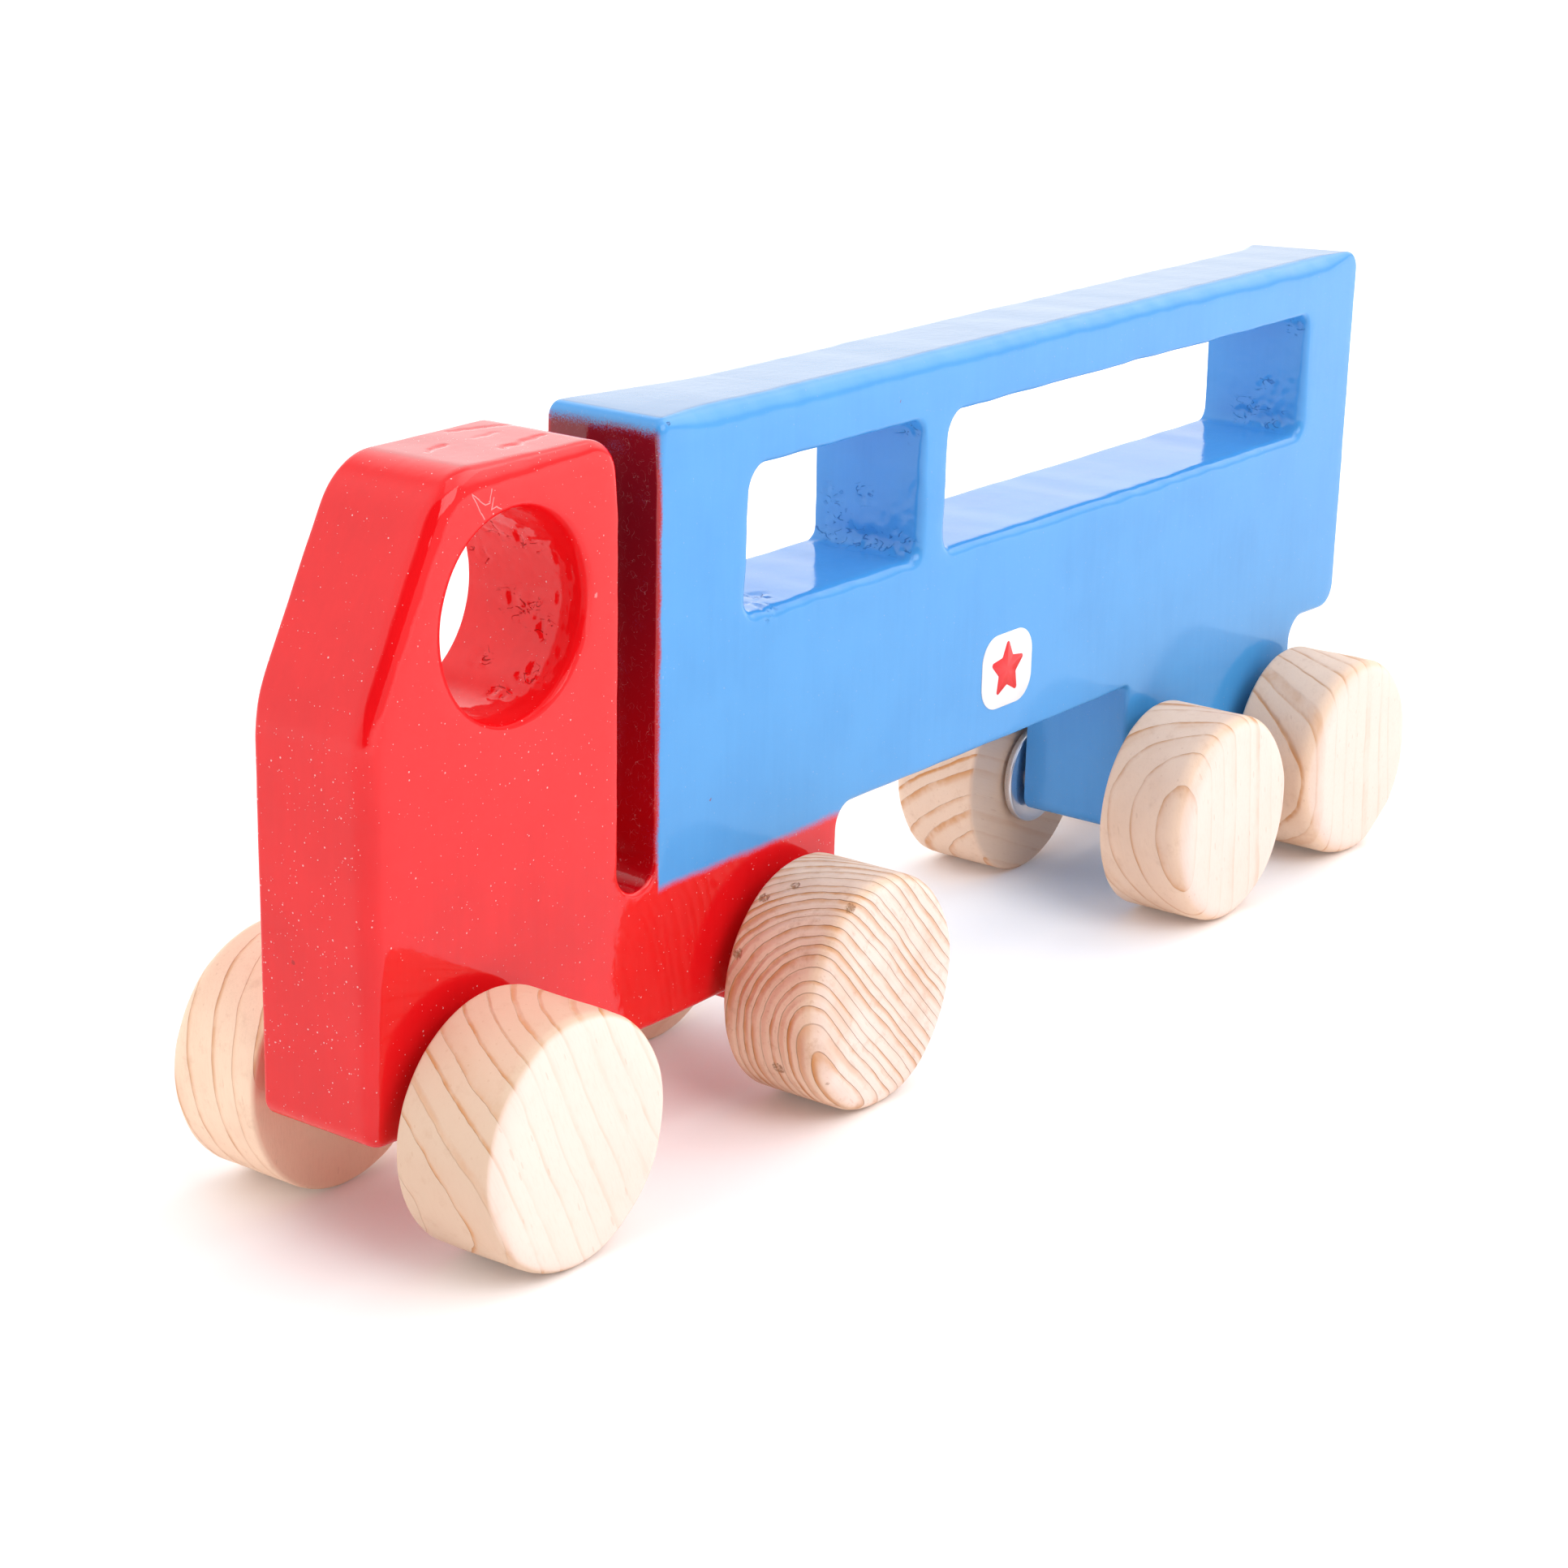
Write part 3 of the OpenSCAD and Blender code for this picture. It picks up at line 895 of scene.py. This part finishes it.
def torn_fibres(g):
    """1 in the short cracks and pits where the saw tore the end grain."""
    wave = g.noise(0.34, 1.5, 0.55, stretch=(1, 0.55, 1.1), distortion=0.4)
    cracks = g.soft_step(g.math("ABSOLUTE", g.minus(wave, 0.5)), 0.020, 0.006)
    cracks = g.times(cracks, g.soft_step(g.noise(0.55, 1.0), 0.46, 0.54))
    pits = g.soft_step(g.noise(1.0, 3.0, 0.7, stretch=(1, 0.6, 1)), 0.63, 0.68)
    zone = g.soft_step(g.attribute("torn"), 0.15, 0.65)
    return g.times(zone, g.math("MAXIMUM", cracks, pits))


def worn_hole_rim(g):
    """1 round the hand hole's left rim, where hands have dulled the gloss."""
    rim_centre = HOLE_CENTRE - Vector((HOLE_SHIFT + HOLE_LEAN, 0, 0))
    flat = g.vector("MULTIPLY", g.vector("SUBTRACT", g.place, tuple(rim_centre)), (1, 0, 1))
    near_hole = g.soft_step(g.vector("LENGTH", flat), HOLE_R + 1.0, HOLE_R + 0.6)
    ragged = g.plus(g.y, g.times(g.noise(0.12), 6))
    return g.times(near_hole, g.soft_step(ragged, HALF_T - 3.5, HALF_T - 2.5))


PAINT_IOR = 1.47


def gloss_paint():
    """Thick gloss paint over pine, in two colours, with dust, scratches and torn end grain."""
    g = Graph(bpy.data.materials.new("gloss_paint"))
    red = red_area(g)
    dust = g.math("MAXIMUM", g.specks(0.75, 0.19), g.specks(1.3, 0.11))
    dusty = g.times(dust, g.plus(0.10, g.times(red, 0.40)))
    scratched = g.math("MAXIMUM", hairs(g, 0.5, 0), hairs(g, 0.8, 40))
    scratched = g.times(scratched, g.attribute("slot"))
    on_left = g.soft_step(g.y, HALF_T - 2, HALF_T - 1)
    scribble = g.times(g.scratches(HOLE_CENTRE, SCRIBBLE, 0.16), on_left)
    chips = g.chips(CHIPS)
    torn = torn_fibres(g)
    base = g.stained(two_tone(g, red), [
        (dusty, 1.0, DUST), (scratched, 0.18, DUST), (scribble, 0.28, DUST),
        (g.chips(NICKS), 0.25, DUST), (g.chips(BRUISES), 0.55, PIT_RED),
        (chips, 0.60, PIT_BLUE), (torn, 0.65, g.mix(red, PIT_BLUE, PIT_RED)),
    ])
    grain = g.noise(0.9, 3.0, 0.6, stretch=(0.06, 1, 1))
    orange_peel = g.noise(0.45)
    height = g.plus(g.times(grain, 0.008), g.times(g.plus(orange_peel, dust), 0.03))
    sunk = g.math("MAXIMUM", chips, g.times(scribble, 0.3))
    sunk = g.math("MAXIMUM", sunk, g.times(torn, 0.25))
    height = g.minus(height, g.times(sunk, 0.35))
    normal = g.bump(height, 1.0)
    coat = g.minus(1.0, g.times(red, 0.06))
    coat = g.minus(coat, g.times(worn_hole_rim(g), 0.7))
    coat = g.times(coat, g.minus(1.0, g.times(torn, 0.6)))
    coat_roughness = g.minus(0.12, g.times(red, 0.07))
    return g.surface({
        "Base Color": base, "Roughness": 0.5, "Specular IOR Level": 0.0, "Normal": normal,
        "Coat Weight": coat, "Coat Roughness": coat_roughness, "Coat IOR": PAINT_IOR,
        "Coat Normal": normal,
    })


# The wheels' outward faces are paler than their barrels: partly their grain, partly painted light, as the lit
# outer faces are drawn lighter while the inner faces keep the barrel's colour
PINE_FACE_AND_LIGHT = colour(0.92, 0.74, 0.655)
PINE_BARREL = (0.85, 0.62, 0.46)
PINE_BLUSH = colour(0.70, 0.46, 0.33)
PINE_BROWN = colour(0.56, 0.31, 0.18)
PINE_LATE = colour(0.62, 0.26, 0.08)
KNOT = colour(0.36, 0.16, 0.06)


def ring_place(g, centre, pith, along):
    """Distance from the pith line, and a place whose third axis runs with the fibres."""
    local = g.vector("SUBTRACT", g.place, tuple(centre + Vector(pith)))
    sideways = Vector((0, 1, 0)) if abs(along.y) < 0.9 else Vector((1, 0, 0))
    across_a = along.cross(sideways).normalized()
    across_b = along.cross(across_a)
    parts = {i: g.vector("DOT_PRODUCT", local, tuple(axis))
             for i, axis in enumerate((across_a, across_b, along))}
    fibre_place = g.node("ShaderNodeCombineXYZ", parts).outputs[0]
    flat = g.vector("MULTIPLY", fibre_place, (1, 1, 0))
    return g.vector("LENGTH", flat), fibre_place


def uneven_rings(g, radius, fibre_place, first, spacing):
    """Which growth ring a place is in, as a number that grows from ring to ring."""
    warp = g.noise(0.05)
    tremble = g.noise(0.35, place=fibre_place, stretch=(1, 1, 0.25))
    radius = g.plus(radius, g.times(g.minus(warp, 0.5), 2.2))
    radius = g.plus(radius, g.times(g.minus(tremble, 0.5), 0.55))
    uneven = g.noise(0.23, 1.0, place=g.along_x(radius))
    rings = g.math("DIVIDE", g.minus(radius, first), spacing)
    return g.plus(rings, g.times(g.minus(uneven, 0.5), 1.2))


def pine(name, centre, pith, along, spacing, first=0.0, tint=0.0, contrast=1.0, thin=0.12,
         end_lines=0.22, relief=0.1, knots=(), barrel=1.0):
    """Sanded pine cut through growth rings round a pith line given from the axle's middle."""
    g = Graph(bpy.data.materials.new(name))
    radius, fibre_place = ring_place(g, centre, pith, Vector(along).normalized())
    rings = uneven_rings(g, radius, fibre_place, first, spacing)
    phase = g.math("FRACT", rings)
    line = g.soft_step(phase, 1.0 - 2.2 * thin, 1.0 - 0.3 * thin)
    line = g.times(line, g.soft_step(phase, 1.0, 1.0 - 0.25 * thin))
    shade = g.math("POWER", phase, 4.0)
    broken = g.noise(0.16, 3.0, 0.65, place=fibre_place, stretch=(1, 1, 0.4))
    ring_number = g.along_x(g.math("FLOOR", rings))
    each_ring = g.soft_step(g.noise(0.9, 0.0, place=ring_number), 0.15, 0.75)
    strength = g.times(g.plus(0.35, g.soft_step(broken, 0.32, 0.62)), each_ring)
    end_share = g.soft_step(g.math("ABSOLUTE", g.facing_y), 0.6, 0.97)
    # Painted light: only the outward flat faces take the paler face colour; faces turned towards the block stay
    # barrel-coloured
    outer_face_lit = g.times(end_share, g.soft_step(g.times(g.facing_y, g.y), 0, 1))
    calm = g.minus(1.0, g.times(end_share, 1.0 - end_lines))
    hatch = g.noise(1.3, 3.0, 0.7, place=fibre_place, stretch=(1, 1, 0.3))
    fibres = g.noise(2.2, 3.0, 0.65, place=fibre_place, stretch=(1, 1, 0.05))
    ducts = g.specks(0.75, 0.30, g.vector("MULTIPLY", fibre_place, (1, 1, 0.16)))
    blush = g.times(g.soft_step(g.noise(0.045, 3.0, 0.55), 0.40, 0.72), 0.30 + tint)
    spots = g.times(g.soft_step(g.noise(0.22, 4.0, 0.7), 0.52, 0.80), 0.30 + 0.8 * tint)
    hatched = g.times(g.soft_step(hatch, 0.58, 0.78), 0.12 + 0.55 * tint)
    ragged = g.soft_step(g.noise(1.1, 3.0, 0.7), 0.35, 0.60)
    knotted = g.times(g.chips(placed(centre, knots)), ragged)
    base = g.mix(outer_face_lit, colour(*PINE_BARREL, barrel), PINE_FACE_AND_LIGHT)
    base = g.stained(base, [
        (blush, calm, PINE_BLUSH), (spots, calm, PINE_BROWN),
        (g.soft_step(fibres, 0.45, 0.8), 0.16, PINE_BLUSH),
        (g.times(shade, calm, 0.34 * contrast), strength, PINE_LATE),
        (g.times(line, strength, calm), 0.60 * contrast, PINE_LATE),
        (hatched, calm, PINE_BROWN), (ducts, 0.22, PINE_BROWN), (knotted, 0.80, KNOT),
    ])
    ridges = g.times(g.minus(phase, line), relief)
    height = g.plus(g.times(fibres, 0.05), g.times(ridges, calm))
    height = g.minus(height, g.times(knotted, 0.25))
    return g.surface({"Base Color": base, "Roughness": 0.55, "Normal": g.bump(height, 1.0),
                      "Specular IOR Level": 0.30})


def metal(name, shade, roughness, streaks):
    """Plated or drawn steel with fine marks."""
    g = Graph(bpy.data.materials.new(name))
    marks = g.noise(3.0, 3.0, 0.7, stretch=streaks)
    base = g.mix(marks, colour(*shade, 0.85), colour(*shade))
    rough = g.plus(roughness, g.times(marks, 0.15))
    return g.surface({"Base Color": base, "Metallic": 1.0, "Roughness": rough,
                      "Normal": g.bump(marks, 0.01)})


def vinyl(name, shade):
    """Printed vinyl with a faint texture."""
    g = Graph(bpy.data.materials.new(name))
    base = g.mix(g.noise(0.8, 3.0), colour(*shade), colour(*shade, 0.93))
    return g.surface({"Base Color": base, "Roughness": 0.35, "Normal": g.bump(g.noise(2.0), 0.01)})


def paper_floor():
    """A seamless white floor."""
    g = Graph(bpy.data.materials.new("white_floor"))
    base = g.mix(g.noise(0.01), colour(0.93, 0.905, 0.905), colour(0.95, 0.925, 0.925))
    away = g.soft_step(g.vector("LENGTH", g.place), 250, 1000)
    glow = g.plus(0.07, g.times(away, 0.40))
    return g.surface({"Base Color": base, "Roughness": 0.7, "Normal": g.bump(g.noise(0.6), 0.01),
                      "Emission Color": colour(1, 1, 1), "Emission Strength": glow})


def dress(piece, material, body, node=None):
    """Gives a piece its material, its body and the node it stands for."""
    piece.data.materials.append(material)
    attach(piece, body)
    if node:
        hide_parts(node)


# ---- the object ----

# Least and most rounding of each wheel's outer rim
WHEEL_RIMS = {
    "front_wheel_left": (1.8, 3.4), "chassis_wheel_left": (2.2, 4.0),
    "bogie_front_wheel_left": (2.2, 4.8), "bogie_rear_wheel_left": (2.2, 5.0),
}
USUAL_RIM = (2.0, 3.2)

# Knots in the darkest wheel (x, y, z, radius), from its axle's middle
CHASSIS_KNOTS = [(11.4, 39.9, 22.3, 1.9), (22.0, 30.3, -12.0, 1.7), (14.6, 20.3, 20.3, 1.3),
                 (22.7, 19.9, 10.6, 1.3), (10.3, 24.8, 22.8, 1.2), (19.0, 41.0, -14.1, 1.2)]

# Growth rings of each wheel: pith point from the axle's middle, its direction, ring spacing and
# the radius of one ring
WHEEL_GRAIN = {
    "front_wheel_left": dict(
        pith=(-54.6, 71.6, 32.6), along=(-0.37, 0.14, -0.92), spacing=4.5, first=65.4,
        thin=0.09, relief=0.15, contrast=1.1, barrel=0.86),
    "front_wheel_right": dict(
        pith=(10, 50, 0), along=(0.1, 0.2, -0.97), spacing=5.6, tint=0.05, barrel=1.17),
    "chassis_wheel_left": dict(
        pith=(17.5, 45, -16.3), along=(0.68, 0.0, 0.73), spacing=2.2, tint=0.6, contrast=1.35,
        thin=0.28, end_lines=0.7, relief=0.35, knots=CHASSIS_KNOTS, barrel=1.02),
    "chassis_wheel_right": dict(
        pith=(20, 60, 12), along=(0.8, 0.1, -0.5), spacing=4.0, tint=0.2),
    "bogie_front_wheel_left": dict(
        pith=(39.4, 51.2, 5.5), along=(-0.16, 0.23, -0.96), spacing=5.6, first=23.0,
        thin=0.11, contrast=1.2, barrel=1.06),
    "bogie_front_wheel_right": dict(
        pith=(108, 126, -252), along=(0.92, 0.0, 0.39), spacing=4.2, tint=0.25, contrast=1.5,
        thin=0.16),
    "bogie_rear_wheel_left": dict(
        pith=(-99.6, 78.1, 23.2), along=(0.14, 0.45, -0.88), spacing=5.4, first=115.9,
        thin=0.11, contrast=1.1, barrel=1.06),
    "bogie_rear_wheel_right": dict(
        pith=(-60, 30, 20), along=(0.3, 0.2, 0.9), spacing=4.8),
}


def make_truck():
    """Builds every piece, dresses it, and lets it ride on its body."""
    dress(build_block(), gloss_paint(), "block", "body_block")

    low, high = box_mm("side_sticker")
    middle = ((low.x + high.x) / 2, (low.z + high.z) / 2)
    spots = ((low.x, low.z), (high.x, low.z), (high.x, high.z), (low.x, high.z))
    label_outline = rounded([(x, z, STICKER_CORNER_R, 0) for x, z in spots])[0]
    label = raised_plate("sticker_label", label_outline, HALF_T - 0.2, high.y, 0.05)
    white = vinyl("sticker_white", (0.93, 0.93, 0.94))
    dress(label, white, "block", "side_sticker")
    star = raised_plate("sticker_star", star_outline(middle), high.y - 0.05, high.y + 0.04, 0.01)
    dress(star, vinyl("sticker_red", (0.80, 0.02, 0.025)), "block")

    zinc = metal("bright_zinc", (0.78, 0.79, 0.82), 0.22, (1, 1, 1))
    steel = metal("drawn_steel", (0.62, 0.63, 0.65), 0.30, (1, 0.05, 1))
    for body, nodes in frame["record"]["behaviour"]["bodies"].items():
        for node in nodes:
            if node in WHEEL_GRAIN:
                number = sorted(WHEEL_GRAIN).index(node)
                wheel = build_wheel(node, 20 + 3 * number, WHEEL_RIMS.get(node, USUAL_RIM))
                centre = sum(box_mm(node), Vector()) / 2
                hub = Vector((centre.x, 0, centre.z))
                wood = pine(node + "_pine", hub, **WHEEL_GRAIN[node])
                dress(wheel, wood, body, node)
            elif "washer" in node:
                dress(build_washer(node), zinc, body, node)
            elif node.endswith("_axle"):
                rod = frame["nodes"][node]
                rod.data.materials.clear()
                rod.data.materials.append(steel)


# ---- studio ----

# In metres
FLOOR_HALF = 12.0
CAMERA_PLACE = Vector((0.57928, 0.39984, 0.27710))
CAMERA_AIM = Vector((0.0391, 0.0, 0.0568))
CAMERA_ROLL = math.radians(1.218)
CAMERA_LENS = 76.49


def make_camera():
    """The main view: over the cab's front left corner, from a little above."""
    data = bpy.data.cameras.new("camera")
    data.lens = CAMERA_LENS
    data.sensor_width = 36
    camera = bpy.data.objects.new("camera", data)
    bpy.context.scene.collection.objects.link(camera)
    camera.location = CAMERA_PLACE
    level = (CAMERA_AIM - CAMERA_PLACE).to_track_quat("-Z", "Y")
    camera.rotation_mode = "QUATERNION"
    camera.rotation_quaternion = level @ Quaternion((0, 0, 1), CAMERA_ROLL)
    bpy.context.scene.camera = camera


def soft_light(name, place, aim, size, watts):
    """A large square softbox."""
    data = bpy.data.lights.new(name, "AREA")
    data.size = size
    data.energy = watts
    light = bpy.data.objects.new(name, data)
    light.location = place
    light.rotation_euler = (Vector(aim) - Vector(place)).to_track_quat("-Z", "Y").to_euler()
    bpy.context.scene.collection.objects.link(light)


# Light from the room: its even level, brighter patches behind the truck, over its rear left and
# ahead on its right, and the dark space round the camera. A patch has its borders' cosines.
ROOM_LIGHT = 0.80
BACKGROUND = 1.05
Patch = namedtuple("Patch", "towards outer inner light")
ROOM_PATCHES = [
    Patch(Vector((-0.62, -0.75, 0.25)).normalized(), outer=0.74, inner=1.00, light=0.86),
    Patch(Vector((-0.74, 0.22, 0.63)).normalized(), outer=0.80, inner=0.98, light=1.40),
    Patch(Vector((0.66, -0.60, 0.46)).normalized(), outer=0.60, inner=0.90, light=0.70),
    Patch(Vector((0.68, 0.52, 0.50)).normalized(), outer=0.82, inner=0.87, light=-0.78),
]


def light_room(world):
    """World light from the room's even level and its patches; the camera sees plain white."""
    g = Graph(world)
    strength = ROOM_LIGHT
    for patch in ROOM_PATCHES:
        closeness = g.vector("DOT_PRODUCT", g.direction, tuple(patch.towards))
        within = g.soft_step(closeness, patch.outer, patch.inner)
        strength = g.plus(strength, g.times(within, patch.light))
    seen = g.node("ShaderNodeLightPath").outputs["Is Camera Ray"]
    strength = g.math("MAXIMUM", strength, g.times(seen, BACKGROUND))
    light = {"Color": colour(1.0, 0.99, 0.99), "Strength": strength}
    g.node("ShaderNodeOutputWorld", {"Surface": g.node("ShaderNodeBackground", light).outputs[0]})


def make_studio():
    """A wide white floor in even white light, with softboxes over the left side and above."""
    mesh = bpy.data.meshes.new("floor")
    corners = [(FLOOR_HALF * a, FLOOR_HALF * b, 0) for a, b in ((-1, -1), (1, -1), (1, 1), (-1, 1))]
    mesh.from_pydata(corners, [], [(0, 1, 2, 3)])
    floor = bpy.data.objects.new("floor", mesh)
    bpy.context.scene.collection.objects.link(floor)
    floor.data.materials.append(paper_floor())
    world = bpy.data.worlds.new("white_room")
    light_room(world)
    bpy.context.scene.world = world
    soft_light("key_softbox", (0.2, 1.3, 1.3), (0, 0, 0.05), 1.2, 14)
    soft_light("top_softbox", (-0.4, 0.2, 1.65), (0, 0, 0.05), 1.4, 5)
    bpy.context.scene.view_settings.view_transform = "Standard"


make_truck()
make_studio()
make_camera()
